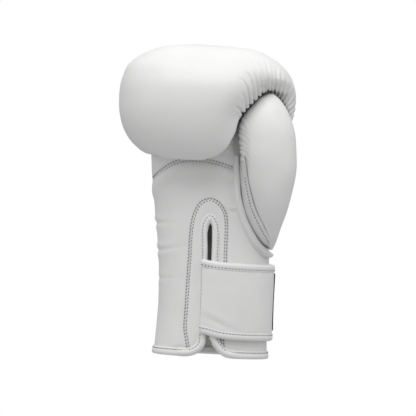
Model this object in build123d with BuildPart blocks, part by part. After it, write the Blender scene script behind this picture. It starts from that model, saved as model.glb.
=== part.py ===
from build123d import *
import os

# A right-hand boxing glove standing on its cuff, palm to -Y, thumb to +X.
# Millimetres, +Z up, origin under the middle of the glove at the cuff's rim.

# Driving dimensions: skins, padding and the gaps between sewn layers
leather = 1.2
layer_gap = 0.3
cuff_padding = 8.0
lining = 1.0
back_padding_ratio = 1.7
fist_outer_padding = 15.5
fist_core_padding = 13.0
edge_gap = 0.4

# Driving dimensions: heights
rim_height = 7.5
cuff_top = 96.0
hand_top = 191.7
fist_floor = 192.2
finger_way_top = 224.0
lining_top = 214.5
fist_middle = 240.0
fist_half_height = 55.0
fist_width = 167.8
fist_depth = 140.4
fist_centre = -1.9

# Driving dimensions: the strap
strap_low = 16.5
strap_high = 93.5
strap_band = 7.5
strap_start = 3.2
strap_border = 44.25
strap_tip = -12.0
strap_inner = -1.2
strap_split = -3.4
strap_outer = -4.7

# Driving dimensions: the slit in the palm side of the cuff
facing_middle = 5.3
facing_half_width = 17.6
facing_top = 150.0
binding_middle = 7.7
binding_half_width = 8.2
binding_top = 134.0

# Driving dimensions: the thumb's joint and the room around it
palm_depth = -18.0
scoop_depth = -6.0
thumb_room = 2.5
body_middle = 18.0

# How square the ovals are: 0.55 is an ellipse, 1 is a rectangle
hand_fullness = 0.66
fist_fullness = 0.65
thumb_fullness = 0.58

# Each level is height, left, right, palm side and back of one flattened oval.
hand_levels = [
    (-6.0, -41.2, 68.0, -22.0, 58.0),
    (50.0, -38.8, 65.8, -21.2, 57.0),
    (93.0, -41.0, 65.4, -21.0, 58.0),
    (140.0, -47.0, 58.0, -19.8, 63.5),
    (192.0, -53.2, 50.4, -18.1, 67.8),
    (232.0, -54.0, 50.0, -18.0, 68.0),
]
fist_levels = [
    (185.5, -40.0, 34.0, -42.0, 58.0),
    (198.0, -69.5, 64.0, -57.5, 68.5),
    (218.0, -82.3, 77.0, -66.5, 70.2),
    (240.0, -85.8, 82.0, -70.2, 70.2),
    (262.0, -83.2, 78.5, -66.6, 64.2),
    (282.0, -69.5, 63.5, -53.0, 49.0),
    (295.0, -34.0, 30.0, -25.0, 22.0),
]
thumb_levels = [
    (106.0, 63.5, 68.5, -10.0, 6.0),
    (126.0, 54.5, 73.5, -30.0, 3.0),
    (158.0, 40.0, 82.2, -47.0, -4.0),
    (183.0, 33.4, 85.8, -53.5, -8.4),
    (212.0, 30.2, 82.8, -54.0, -8.6),
    (236.0, 37.0, 74.0, -48.0, -11.6),
    (251.5, 53.0, 62.0, -34.0, -25.0),
]


def lofted_body(levels, fullness):
    # each level is four curves; fullness sets how square the oval's corners are
    with BuildPart() as body:
        for height, left, right, front, back in levels:
            middle_x = (left + right) / 2
            middle_y = (front + back) / 2
            half_x = (right - left) / 2
            half_y = (back - front) / 2
            with BuildSketch(Plane.XY.offset(height)):
                with BuildLine():
                    for side_x, side_y in ((1, 1), (-1, 1), (-1, -1), (1, -1)):
                        corner = [(1, 0), (1, fullness), (fullness, 1), (0, 1)]
                        if side_x * side_y < 0:
                            corner.reverse()
                        Bezier(*[
                            (middle_x + side_x * half_x * across, middle_y + side_y * half_y * deep)
                            for across, deep in corner
                        ])
                make_face()
        loft()
    return body.part


def hand_body(inset):
    # the padding on the back of the hand is thicker than on the palm
    back_inset = inset * back_padding_ratio if inset > leather else inset
    levels = []
    for height, left, right, front, back in hand_levels:
        levels.append((height, left + inset, right - inset, front + inset, back - back_inset))
    return lofted_body(levels, hand_fullness)


def fist_body(inset):
    # shrinks towards the fist's middle by the same amount on every side
    wide = 1 - 2 * inset / fist_width
    deep = 1 - 2 * inset / fist_depth
    tall = 1 - inset / fist_half_height
    levels = []
    for height, left, right, front, back in fist_levels:
        levels.append((
            fist_middle + (height - fist_middle) * tall,
            fist_centre + (left - fist_centre) * wide,
            fist_centre + (right - fist_centre) * wide,
            front * deep,
            back * deep,
        ))
    return lofted_body(levels, fist_fullness)


def thumb_body(inset):
    low, high = thumb_levels[0][0], thumb_levels[-1][0]
    squash = (high - low - 2 * inset) / (high - low)
    levels = []
    for height, left, right, front, back in thumb_levels:
        share = min(inset, (right - left) / 2.6)
        depth_share = min(inset, (back - front) / 2.6)
        new_height = low + inset + (height - low) * squash
        levels.append((new_height, left + share, right - share, front + depth_share, back - depth_share))
    return lofted_body(levels, thumb_fullness)


def block(x_low, x_high, y_low, y_high, z_low, z_high):
    with BuildPart(Location((x_low, y_low, z_low))) as room:
        Box(x_high - x_low, y_high - y_low, z_high - z_low, align=(Align.MIN, Align.MIN, Align.MIN))
    return room.part


def hand_layer(outer, inner, z_low, z_high):
    with BuildPart() as layer:
        add(hand_body(outer))
        add(hand_body(inner), mode=Mode.SUBTRACT)
        add(block(-130, 130, -130, 130, z_low, z_high), mode=Mode.INTERSECT)
    return layer.part


def palm_side_prism(outline, y_near, y_far):
    # an outline drawn on the palm side, carried straight through from y_near back to y_far
    with BuildPart() as prism:
        with BuildSketch(Plane.XZ.offset(-y_far)):
            add(outline)
        extrude(amount=y_far - y_near)
    return prism.part


# Outlines drawn as the palm side shows them: across is X, up is Z.
with BuildSketch() as facing_outline:
    facing_shoulder = facing_top - facing_half_width
    with Locations((facing_middle, facing_shoulder)):
        Circle(facing_half_width)
    with Locations((facing_middle, facing_shoulder / 2 - 10)):
        Rectangle(2 * facing_half_width, facing_shoulder + 20)

with BuildSketch() as binding_outline:
    binding_shoulder = binding_top - binding_half_width
    binding_left = binding_middle - binding_half_width
    binding_right = binding_middle + binding_half_width
    with BuildLine():
        Polyline(
            (-14, -8), (-14, rim_height), (-9, 8.6), (binding_left, 24), (binding_left, binding_shoulder)
        )
        ThreePointArc(
            (binding_left, binding_shoulder),
            (binding_middle, binding_top),
            (binding_right, binding_shoulder),
        )
        Polyline(
            (binding_right, binding_shoulder), (binding_right, 24), (23, 12), (36, rim_height), (36, -8)
        )
        Line((36, -8), (-14, -8))
    make_face()

with BuildSketch() as slit_outline:
    with BuildLine():
        Polyline((-9, -8), (-9, 0.2), (3, 4), (7.6, 12), (9.0, 20), (7.4, 93), (4.4, 113), (5.4, 124))
        ThreePointArc((5.4, 124), (6.9, 129), (8.6, 124))
        Polyline((8.6, 124), (9.8, 113), (10.6, 93), (11.6, 20), (14, 13), (21, 5), (32, 0.2), (32, -8))
        Line((32, -8), (-9, -8))
    make_face()

# The room in front of the fist, on its right, where the thumb lies
with BuildSketch() as thumb_bay_outline:
    with BuildLine():
        Spline((-6, 184.5), (10, 190.5), (20, 199), (26.5, 214), (28.5, 231))
        Spline((28.5, 231), (34, 246), (46, 255), (60, 258), (100, 252))
        Polyline((100, 252), (100, 170), (-6, 170), (-6, 184.5))
    make_face()

with BuildSketch() as thumb_scoop_outline:
    with BuildLine():
        Polyline((27, 170), (27, 222))
        Spline((27, 222), (34, 246), (48, 257), (66, 261), (110, 262))
        Polyline((110, 262), (110, 170), (27, 170))
    make_face()

binding_prism = palm_side_prism(binding_outline.sketch, -60, body_middle - 4)
facing_prism = palm_side_prism(facing_outline.sketch, -60, body_middle - 4)
slit_prism = palm_side_prism(slit_outline.sketch, -60, body_middle)
thumb_bay = palm_side_prism(thumb_bay_outline.sketch, -90, palm_depth)
thumb_scoop = palm_side_prism(thumb_scoop_outline.sketch, -90, scoop_depth)
front_half = block(-130, 130, -130, body_middle - edge_gap / 2, -10, 310)
back_half = block(-130, 130, body_middle + edge_gap / 2, 130, -10, 310)
under_fist = block(-130, 130, palm_depth - 4.5, 130, 150, fist_floor)

# Depths of the sewn layers, counted inwards from the outside of the hand part
foam_out = leather + layer_gap
foam_in = foam_out + cuff_padding
lining_out = foam_in + layer_gap
lining_in = lining_out + lining
panel_low = 1.9

# The same for the fist
core_out = foam_out + fist_outer_padding + layer_gap
core_in = core_out + fist_core_padding
pocket_out = core_in + layer_gap
pocket_in = pocket_out + lining

# The way from the hand up into the finger pocket
with BuildPart() as finger_way:
    add(hand_body(foam_in))
    add(block(-130, 130, -130, 130, 170, finger_way_top), mode=Mode.INTERSECT)

# The way from the hand into the thumb
thumb_way_start = Vector(26, 8, 128)
thumb_way_end = Vector(57, -30, 186)
thumb_way_radius = 13.0


def thumb_way(radius):
    direction = thumb_way_end - thumb_way_start
    with BuildPart() as way:
        with BuildSketch(Plane(origin=thumb_way_start, z_dir=direction)):
            Circle(radius)
        extrude(amount=direction.length)
    return way.part


thumb_passage = thumb_way(thumb_way_radius)

# Palm side of the hand and cuff
with BuildPart() as palm_panel:
    add(hand_layer(0, leather, panel_low, hand_top))
    add(front_half, mode=Mode.INTERSECT)
    add(facing_prism, mode=Mode.SUBTRACT)
    add(binding_prism, mode=Mode.SUBTRACT)
    add(thumb_passage, mode=Mode.SUBTRACT)

with BuildPart() as slit_facing:
    add(hand_layer(0, leather, panel_low, facing_top + 4))
    add(front_half, mode=Mode.INTERSECT)
    add(palm_side_prism(offset(facing_outline.sketch, -edge_gap), -60, body_middle - 4), mode=Mode.INTERSECT)
    add(binding_prism, mode=Mode.SUBTRACT)

with BuildPart() as slit_binding:
    add(hand_layer(-0.9, lining_in + 0.5, 0, binding_top + 4))
    binding_room = offset(binding_outline.sketch, -edge_gap)
    add(palm_side_prism(binding_room, -60, body_middle - 4), mode=Mode.INTERSECT)
    add(slit_prism, mode=Mode.SUBTRACT)

with BuildPart() as palm_foam:
    add(hand_layer(foam_out, foam_in, cuff_top + edge_gap, hand_top))
    add(front_half, mode=Mode.INTERSECT)
    add(binding_prism, mode=Mode.SUBTRACT)
    add(thumb_passage, mode=Mode.SUBTRACT)

with BuildPart() as cuff_foam_little_side:
    add(hand_layer(foam_out, foam_in, panel_low, cuff_top))
    add(block(-130, facing_middle, -130, body_middle - edge_gap / 2, 0, 120), mode=Mode.INTERSECT)
    add(binding_prism, mode=Mode.SUBTRACT)

with BuildPart() as cuff_foam_thumb_side:
    add(hand_layer(foam_out, foam_in, panel_low, cuff_top))
    add(block(facing_middle, 130, -130, body_middle - edge_gap / 2, 0, 120), mode=Mode.INTERSECT)
    add(binding_prism, mode=Mode.SUBTRACT)

# Back of the hand and cuff
with BuildPart() as cuff_back_panel:
    add(hand_layer(0, leather, panel_low, cuff_top))
    add(back_half, mode=Mode.INTERSECT)

with BuildPart() as hand_back_panel:
    add(hand_layer(0, leather, cuff_top + edge_gap, hand_top))
    add(back_half, mode=Mode.INTERSECT)

with BuildPart() as cuff_foam_back:
    add(hand_layer(foam_out, foam_in, panel_low, cuff_top))
    add(back_half, mode=Mode.INTERSECT)

with BuildPart() as hand_back_foam:
    add(hand_layer(foam_out, foam_in, cuff_top + edge_gap, hand_top))
    add(back_half, mode=Mode.INTERSECT)

with BuildPart() as hand_lining:
    add(hand_layer(lining_out, lining_in, panel_low, lining_top))
    add(binding_prism, mode=Mode.SUBTRACT)
    add(thumb_passage, mode=Mode.SUBTRACT)

# The bindings folded round the rim, one on each side of the slit, meeting behind
with BuildPart() as rim_fold:
    add(hand_layer(-0.9, lining_in + 0.9, 0, rim_height))
    add(hand_layer(-0.1, lining_in + 0.1, panel_low - 0.2, rim_height + 1), mode=Mode.SUBTRACT)
    add(binding_prism, mode=Mode.SUBTRACT)

seam_x = (hand_levels[0][1] + hand_levels[0][2]) / 2
with BuildPart() as rim_binding_little_side:
    add(rim_fold.part)
    add(block(-130, seam_x - edge_gap / 2, -130, 130, -1, 20), mode=Mode.INTERSECT)

with BuildPart() as rim_binding_thumb_side:
    add(rim_fold.part)
    add(block(seam_x + edge_gap / 2, 130, -130, 130, -1, 20), mode=Mode.INTERSECT)

# The fist: a cover curled over two layers of padding, a lined pocket and a grip bar
with BuildPart() as fist_room:
    add(thumb_bay)
    add(thumb_scoop)
    add(under_fist)

with BuildPart() as knuckle_cover:
    add(fist_body(0))
    add(fist_body(leather), mode=Mode.SUBTRACT)
    add(fist_room.part, mode=Mode.SUBTRACT)
    add(finger_way.part, mode=Mode.SUBTRACT)

with BuildPart() as knuckle_foam_outer:
    add(fist_body(foam_out))
    add(fist_body(foam_out + fist_outer_padding), mode=Mode.SUBTRACT)
    add(fist_room.part, mode=Mode.SUBTRACT)
    add(finger_way.part, mode=Mode.SUBTRACT)

with BuildPart() as knuckle_foam_core:
    add(fist_body(core_out))
    add(fist_body(core_in), mode=Mode.SUBTRACT)
    add(fist_room.part, mode=Mode.SUBTRACT)
    add(finger_way.part, mode=Mode.SUBTRACT)

with BuildPart() as finger_lining:
    add(fist_body(pocket_out))
    add(fist_body(pocket_in), mode=Mode.SUBTRACT)
    add(fist_room.part, mode=Mode.SUBTRACT)
    add(finger_way.part, mode=Mode.SUBTRACT)


# Flat panels behind the lip of the fist and beside the thumb
finger_panel_front = palm_depth - 1.0
with BuildPart() as finger_panel:
    add(palm_side_prism(thumb_bay_outline.sketch, finger_panel_front - leather, finger_panel_front))
    add(block(-30, 26.4, -60, 0, 181, 236), mode=Mode.INTERSECT)
    with BuildSketch(Plane.XZ.offset(-finger_panel_front)):
        with BuildLine():
            Polyline(
                (-30, 176), (-24.7, 181), (-8, 184), (26.4, 178), (26.4, 191.6), (-30, 191.6), (-30, 176)
            )
        make_face()
    extrude(amount=leather)

side_panel_front = scoop_depth - 0.2
with BuildPart() as side_panel:
    add(palm_side_prism(thumb_scoop_outline.sketch, side_panel_front - leather, side_panel_front))
    add(fist_body(leather), mode=Mode.INTERSECT)
    add(block(30, 130, -60, 0, fist_floor, 300), mode=Mode.INTERSECT)

# A padded bar across the finger pocket for the hand to close on
bar_centre = (-5.0, -12.0, 229.0)
bar_length = 54.0
bar_radius = 8.0
with BuildPart(Location(bar_centre, (0, 90, 0))) as grip_bar_core:
    Cylinder(bar_radius - 1.3, bar_length - 3)

with BuildPart(Location(bar_centre, (0, 90, 0))) as grip_bar_cover:
    Cylinder(bar_radius, bar_length)
    Cylinder(bar_radius - 1.0, bar_length - 2, mode=Mode.SUBTRACT)

# The thumb: a padded sleeve of its own, hinged near its base
hand_room = hand_body(-thumb_room)
thumb_foam_depth = 8.0
thumb_sock_low = 134.0

with BuildPart() as thumb_cover:
    add(thumb_body(0))
    add(thumb_body(leather), mode=Mode.SUBTRACT)
    add(hand_room, mode=Mode.SUBTRACT)
    add(thumb_passage, mode=Mode.SUBTRACT)

with BuildPart() as thumb_foam:
    add(thumb_body(foam_out))
    add(thumb_body(foam_out + thumb_foam_depth), mode=Mode.SUBTRACT)
    add(hand_room, mode=Mode.SUBTRACT)
    add(thumb_passage, mode=Mode.SUBTRACT)

with BuildPart() as thumb_sock:
    add(thumb_body(foam_out + thumb_foam_depth + 2 * layer_gap))
    add(thumb_body(foam_out + thumb_foam_depth + 2 * layer_gap + lining), mode=Mode.SUBTRACT)
    add(block(-130, 130, -130, 130, thumb_sock_low, 260), mode=Mode.INTERSECT)
    add(thumb_passage, mode=Mode.SUBTRACT)

with BuildPart() as thumb_lining:
    add(thumb_sock.part.solids().sort_by(SortBy.VOLUME)[-1])

# The rolled edge that joins the thumb to the palm, and the flat band beside it
piping_depth = -19.6
with BuildPart() as thumb_piping:
    with BuildLine(Plane.XZ.offset(-piping_depth)) as piping_path:
        ThreePointArc((28.4, 178), (38.4, 128), (63.0, 101))
    with BuildSketch(Plane(origin=piping_path.line @ 0, z_dir=piping_path.line % 0)):
        Circle(2.3)
    sweep(path=piping_path.line)

with BuildPart() as thumb_gusset:
    with BuildSketch(Plane.XZ.offset(-piping_depth)):
        with BuildLine():
            ThreePointArc((31.2, 174), (41.8, 129.5), (63.2, 104.4))
            Line((63.2, 104.4), (63.0, 105.2))
            ThreePointArc((63.0, 105.2), (44.2, 134), (32.8, 174))
            Line((32.8, 174), (31.2, 174))
        make_face()
    extrude(amount=leather)

# The strap: it leaves the little-finger side of the slit, crosses the slit and the
# thumb side of the cuff and ends behind it. It bends in three stretches.
strap_wall = 0.1
tape_low, tape_high = 27.0, 83.0
tape_depth = 1.0
hook_tape_left, hook_tape_right = -8.8, 35.8
loop_tape_left, loop_tape_right = -16.0, 42.0
badge_front, badge_back = 7.0, 46.0
badge_low, badge_high = 27.5, 82.5
badge_rise = 0.9
strap_bands = {
    "binding_bottom": (strap_low, strap_low + strap_band),
    "binding_top": (strap_high - strap_band, strap_high),
}
strap_stretches = {
    "front": block(strap_start, strap_border - edge_gap / 2, -130, body_middle, 0, 120),
    "side": block(strap_border + edge_gap / 2, 130, -130, 130, 0, 120),
    "end": block(strap_tip, strap_border - edge_gap / 2, body_middle, 130, 0, 120),
}
panel_strap_low = strap_low + 1.6
panel_strap_high = strap_high - 1.6
strap_padding = hand_layer(strap_split, strap_inner, panel_strap_low, panel_strap_high)
strap_skin = hand_layer(strap_outer, strap_split - strap_wall, panel_strap_low, panel_strap_high)
with BuildPart() as tape_slot:
    add(hand_layer(strap_inner - tape_depth, strap_inner + 0.5, tape_low, tape_high))
    add(block(hook_tape_left - 0.2, hook_tape_right + 0.2, body_middle, 130, 0, 120), mode=Mode.INTERSECT)
strap_fold = {}
for band, (low, high) in strap_bands.items():
    with BuildPart() as fold:
        add(hand_layer(strap_outer - 0.6, strap_inner + 0.2, low, high))
        add(hand_layer(strap_outer - strap_wall, strap_inner + strap_wall, panel_strap_low - 0.2,
                       panel_strap_high + 0.2), mode=Mode.SUBTRACT)
    strap_fold[band] = fold.part

strap_pieces = {}
for stretch, room in strap_stretches.items():
    with BuildPart() as strap_cover:
        add(strap_skin)
        add(room, mode=Mode.INTERSECT)
    strap_pieces[f"strap_{stretch}_cover"] = strap_cover
    with BuildPart() as strap_core:
        add(strap_padding)
        add(room, mode=Mode.INTERSECT)
        if stretch == "end":
            add(tape_slot.part, mode=Mode.SUBTRACT)
    strap_pieces[f"strap_{stretch}_core"] = strap_core
    for band, fold_part in strap_fold.items():
        with BuildPart() as strap_edge:
            add(fold_part)
            add(room, mode=Mode.INTERSECT)
        strap_pieces[f"strap_{stretch}_{band}"] = strap_edge

with BuildPart() as hook_tape:
    add(hand_layer(strap_inner - tape_depth + strap_wall, strap_inner, tape_low + 0.2, tape_high - 0.2))
    add(block(hook_tape_left, hook_tape_right, body_middle, 130, 0, 120), mode=Mode.INTERSECT)

with BuildPart() as loop_tape:
    add(hand_layer(strap_inner + 0.3, -0.1, tape_low - 3, tape_high + 3))
    add(block(loop_tape_left, loop_tape_right, body_middle + 2, 130, 0, 120), mode=Mode.INTERSECT)

with BuildPart() as strap_badge:
    add(hand_layer(strap_outer - badge_rise, strap_outer - strap_wall, badge_low, badge_high))
    add(block(60, 130, badge_front, badge_back, 0, 120), mode=Mode.INTERSECT)

pieces = {
    "palm_panel": palm_panel,
    "slit_facing": slit_facing,
    "slit_binding": slit_binding,
    "palm_foam": palm_foam,
    "cuff_foam_little_side": cuff_foam_little_side,
    "cuff_foam_thumb_side": cuff_foam_thumb_side,
    "cuff_back_panel": cuff_back_panel,
    "hand_back_panel": hand_back_panel,
    "cuff_foam_back": cuff_foam_back,
    "hand_back_foam": hand_back_foam,
    "hand_lining": hand_lining,
    "rim_binding_little_side": rim_binding_little_side,
    "rim_binding_thumb_side": rim_binding_thumb_side,
    "knuckle_cover": knuckle_cover,
    "knuckle_foam_outer": knuckle_foam_outer,
    "knuckle_foam_core": knuckle_foam_core,
    "finger_lining": finger_lining,
    "finger_panel": finger_panel,
    "side_panel": side_panel,
    "grip_bar_core": grip_bar_core,
    "grip_bar_cover": grip_bar_cover,
    "thumb_cover": thumb_cover,
    "thumb_foam": thumb_foam,
    "thumb_lining": thumb_lining,
    "thumb_piping": thumb_piping,
    "thumb_gusset": thumb_gusset,
    "hook_tape": hook_tape,
    "loop_tape": loop_tape,
    "strap_badge": strap_badge,
}
pieces.update(strap_pieces)

os.makedirs("parts", exist_ok=True)
for name, piece in pieces.items():
    piece.part.label = name
    export_step(piece.part, f"parts/{name}.step")
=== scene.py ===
import math
import bmesh
import bpy
import numpy as np
from mathutils import Matrix, Vector, noise


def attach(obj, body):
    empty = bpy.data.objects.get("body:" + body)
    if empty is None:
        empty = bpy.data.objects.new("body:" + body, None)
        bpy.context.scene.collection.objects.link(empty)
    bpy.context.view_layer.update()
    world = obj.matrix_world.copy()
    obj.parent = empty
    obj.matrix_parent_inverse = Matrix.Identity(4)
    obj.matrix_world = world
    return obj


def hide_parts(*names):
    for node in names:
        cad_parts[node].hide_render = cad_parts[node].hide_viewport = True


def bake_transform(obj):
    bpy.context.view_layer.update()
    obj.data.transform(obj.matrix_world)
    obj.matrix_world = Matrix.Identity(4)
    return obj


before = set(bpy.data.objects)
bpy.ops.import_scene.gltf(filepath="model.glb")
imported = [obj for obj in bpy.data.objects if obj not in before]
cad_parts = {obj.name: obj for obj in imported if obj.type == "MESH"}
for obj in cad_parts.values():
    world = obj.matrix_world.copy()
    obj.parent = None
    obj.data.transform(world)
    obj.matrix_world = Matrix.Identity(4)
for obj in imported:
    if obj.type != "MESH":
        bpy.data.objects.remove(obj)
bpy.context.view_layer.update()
scene = bpy.context.scene
mm = 0.001


def addNode(tree, kind, inputs, **settings):
    # a node whose inputs come from other nodes' outputs or are fixed values
    node = tree.nodes.new(kind)
    for setting, value in settings.items():
        setattr(node, setting, value)
    for socket, value in inputs.items():
        if isinstance(value, bpy.types.NodeSocket):
            tree.links.new(value, node.inputs[socket])
        else:
            node.inputs[socket].default_value = value
    return node.outputs


# camera and light

stage = {
    "middle": (4.1 * mm, 0.0, 141.2 * mm),
    "frameWidth": 0.3962,      # what the frame spans at the glove's middle
    "distance": 2.6,
    "sensor": 36.0,
    "roll": math.radians(3.0),
    # light from the surround: between two heights it goes from one strength to the other
    "glow": [(-0.35, 0.9, 0.31, 0.90), (-0.95, -0.3, 0.32, 0.0)],
    # name, place, target, size and power
    "lights": [
        ("topSoftbox", (-0.05, -0.75, 1.25), (0, 0, 0.22), (1.3, 0.8), 7.4),
        ("leftFill", (-1.5, -0.9, 0.5), (0, 0, 0.12), (0.7, 1.2), 2.0),
        ("rightFill", (1.5, -0.6, 0.5), (0, 0, 0.12), (0.6, 1.2), 1.5),
    ],
}


def addCamera():
    data = bpy.data.cameras.new("camera")
    camera = bpy.data.objects.new("camera", data)
    data.sensor_width = stage["sensor"]
    data.lens = stage["sensor"] * stage["distance"] / stage["frameWidth"]
    data.clip_end = 50.0
    side = math.sin(stage["roll"])
    up = math.cos(stage["roll"])
    right = Vector((up, 0.0, side))
    top = Vector((-side, 0.0, up))
    back = Vector((0.0, -1.0, 0.0))
    place = Matrix((right, top, back)).transposed().to_4x4()
    place.translation = Vector(stage["middle"]) + back * stage["distance"]
    camera.matrix_world = place
    scene.collection.objects.link(camera)
    scene.camera = camera


def addArea(name, place, target, size, power):
    data = bpy.data.lights.new(name, "AREA")
    data.shape = "RECTANGLE"
    data.size, data.size_y = size
    data.energy = power
    light = bpy.data.objects.new(name, data)
    light.location = place
    aim = Vector(target) - Vector(place)
    light.rotation_euler = aim.to_track_quat("-Z", "Y").to_euler()
    scene.collection.objects.link(light)


def addStage():
    # a white surround for the camera; the light it gives comes mostly from above
    world = bpy.data.worlds.new("studio")
    world.use_nodes = True
    tree = world.node_tree
    place = addNode(tree, "ShaderNodeTexCoord", {})
    split = addNode(tree, "ShaderNodeSeparateXYZ", {"Vector": place["Generated"]})
    steps = {}
    for n, (low, high, atLow, atHigh) in enumerate(stage["glow"]):
        steps[n] = addNode(tree, "ShaderNodeMapRange", {
            "From Min": low, "From Max": high, "To Min": atLow, "To Max": atHigh,
            "Value": split["Z"],
        }, interpolation_type="SMOOTHSTEP")["Result"]
    total = addNode(tree, "ShaderNodeMath", steps)
    glow = tree.nodes["Background"]
    glow.inputs["Color"].default_value = (1, 1, 1, 1)
    tree.links.new(total["Value"], glow.inputs["Strength"])
    paper = addNode(tree, "ShaderNodeBackground", {"Color": (1, 1, 1, 1)})
    seen = addNode(tree, "ShaderNodeLightPath", {})
    mix = addNode(tree, "ShaderNodeMixShader", {
        "Fac": seen["Is Camera Ray"], 1: glow.outputs["Background"], 2: paper["Background"],
    })
    tree.links.new(mix["Shader"], tree.nodes["World Output"].inputs["Surface"])
    scene.world = world
    scene.view_settings.view_transform = "Standard"
    for lamp in stage["lights"]:
        addArea(*lamp)


addCamera()
addStage()
print("stage ready")


# materials

leatherLook = {
    "coat": 0.18, "coatRoughness": 0.32, "specular": 0.45,
    "driftScale": 22.0, "grainScale": 620.0, "bumpDepth": 0.22 * mm,
}
clothLook = {
    "sheen": 0.25, "roughness": (0.78, 0.92),
    "driftScale": 40.0, "bumpDepth": 0.4 * mm, "feature": "F1",
}


def newMaterial(name, colour, roughness):
    material = bpy.data.materials.new(name)
    material.use_nodes = True
    shader = material.node_tree.nodes["Principled BSDF"]
    shader.inputs["Base Color"].default_value = (*colour, 1)
    shader.inputs["Roughness"].default_value = roughness
    return material, shader


def addPattern(material, shader, look):
    # colour and roughness drift slowly, bump comes from grain and a finer tooth
    tree = material.node_tree
    place = addNode(tree, "ShaderNodeTexCoord", {})["Object"]

    def patches(scale, detail):
        return addNode(tree, "ShaderNodeTexNoise", {
            "Scale": scale, "Detail": detail, "Vector": place,
        })["Fac"]

    def spread(source, low, high):
        return addNode(tree, "ShaderNodeMapRange", {
            "From Min": 0.3, "From Max": 0.7, "To Min": low, "To Max": high, "Value": source,
        })["Result"]

    drift = spread(patches(look["driftScale"], 3), 0.0, 1.0)
    # sockets 6 and 7 are the two colours, output 2 the mixed one
    mix = addNode(tree, "ShaderNodeMix", {
        0: drift, 6: (*look["colour"], 1), 7: (*look["shade"], 1),
    }, data_type="RGBA")
    rough = spread(patches(look["driftScale"] * 3, 2), *look["roughness"])
    cells = addNode(tree, "ShaderNodeTexVoronoi", {
        "Scale": look["grainScale"], "Vector": place,
    }, feature=look.get("feature", "DISTANCE_TO_EDGE"))
    tooth = patches(look["grainScale"] * 2.3, 2)
    both = addNode(tree, "ShaderNodeMath", {
        0: tooth, 1: 0.4, 2: cells["Distance"],
    }, operation="MULTIPLY_ADD")
    bump = addNode(tree, "ShaderNodeBump", {
        "Strength": look["bump"], "Distance": look["bumpDepth"], "Height": both["Value"],
    })
    tree.links.new(mix[2], shader.inputs["Base Color"])
    tree.links.new(rough, shader.inputs["Roughness"])
    tree.links.new(bump["Normal"], shader.inputs["Normal"])


def leather(name, colour, shade, roughness, bump):
    material, shader = newMaterial(name, colour, roughness[0])
    shader.inputs["Coat Weight"].default_value = leatherLook["coat"]
    shader.inputs["Coat Roughness"].default_value = leatherLook["coatRoughness"]
    shader.inputs["Specular IOR Level"].default_value = leatherLook["specular"]
    own = {"colour": colour, "shade": shade, "roughness": roughness, "bump": bump}
    addPattern(material, shader, {**leatherLook, **own})
    return material


def cloth(name, colour, shade, scale, bump):
    material, shader = newMaterial(name, colour, 0.85)
    shader.inputs["Sheen Weight"].default_value = clothLook["sheen"]
    own = {"colour": colour, "shade": shade, "grainScale": scale, "bump": bump}
    addPattern(material, shader, {**clothLook, **own})
    return material


white = leather("whiteLeather", (0.83, 0.83, 0.825), (0.80, 0.80, 0.795), (0.36, 0.48), 0.16)
gusset = leather("gussetLeather", (0.80, 0.80, 0.795), (0.77, 0.77, 0.765), (0.38, 0.50), 0.16)
bound = leather("bindingLeather", (0.84, 0.84, 0.835), (0.81, 0.81, 0.805), (0.38, 0.48), 0.20)
badgeRubber = leather("badgeRubber", (0.018, 0.018, 0.02), (0.012, 0.012, 0.013), (0.42, 0.5), 0.3)
foam = cloth("paddingFoam", (0.78, 0.76, 0.70), (0.70, 0.68, 0.62), 420.0, 0.4)
lining = cloth("liningFabric", (0.74, 0.74, 0.73), (0.66, 0.66, 0.65), 900.0, 0.5)
loops = cloth("loopTape", (0.78, 0.78, 0.77), (0.68, 0.68, 0.67), 1100.0, 0.9)
hooks = cloth("hookTape", (0.72, 0.72, 0.71), (0.55, 0.55, 0.54), 700.0, 1.0)
thread = cloth("thread", (0.30, 0.30, 0.30), (0.22, 0.22, 0.22), 2500.0, 0.3)
print("materials ready")


# the hand's form in millimetres; a level is its height, left, right, palm side and back

hand = {
    "levels": [
        (-6.0, -41.2, 68.0, -22.0, 58.0),
        (50.0, -38.8, 65.8, -21.2, 57.0),
        (93.0, -41.0, 65.4, -21.0, 58.0),
        (140.0, -47.0, 58.0, -19.8, 63.5),
        (192.0, -53.2, 50.4, -18.1, 67.8),
        (240.0, -54.0, 50.0, -18.0, 68.0),
    ],
    "power": 2.4,              # squareness of the ovals
    "backPadding": 1.7,        # how much deeper the wall is at the back
    "columns": 340,
    "rowStep": 1.35,
    "bottom": 1.5,
    "top": 240.01,
    "skin": 1.2,
    "seamPress": [(0.55, 0.9), (0.8, 1.3)],     # depth and width at the facing's seam, the palm's
    "stitchPress": (1.2, 0.28, 0.6),            # beside a seam, depth and width
    "facingRise": 0.45,
    "bindingPress": (4.6, 0.5, 1.3),            # from the binding's middle, depth and width
    "palmSwell": (7.0, 2.5, 6.0),               # below the palm's seam, height and width
    "fingerRise": 2.1,
    "slack": 0.35,
    # creases at the little-finger side: height, slope, reach and depth
    "creases": [(124.5, 0.06, 7.0, 1.4), (98.0, 0.22, 11.0, 2.2), (71.5, 0.10, 8.0, 1.2)],
    "creaseLimit": 1.2,
    "cuffBackTop": 96.0,
    "handBackTop": 197.0,
}


def levelAt(levels, heights):
    table = np.array(levels)
    z = table[:, 0]
    slopes = np.gradient(table[:, 1:], z, axis=0)
    heights = np.clip(np.asarray(heights, float), z[0], z[-1])
    low = np.clip(np.searchsorted(z, heights) - 1, 0, len(z) - 2)
    span = (z[low + 1] - z[low])[..., None]
    t = (heights[..., None] - z[low][..., None]) / span
    start, end = table[low, 1:], table[low + 1, 1:]
    # a cubic through the levels, with the slopes it has there
    return (start * (2 * t**3 - 3 * t**2 + 1) + slopes[low] * span * (t**3 - 2 * t**2 + t)
            + end * (3 * t**2 - 2 * t**3) + slopes[low + 1] * span * (t**3 - t**2))


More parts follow.
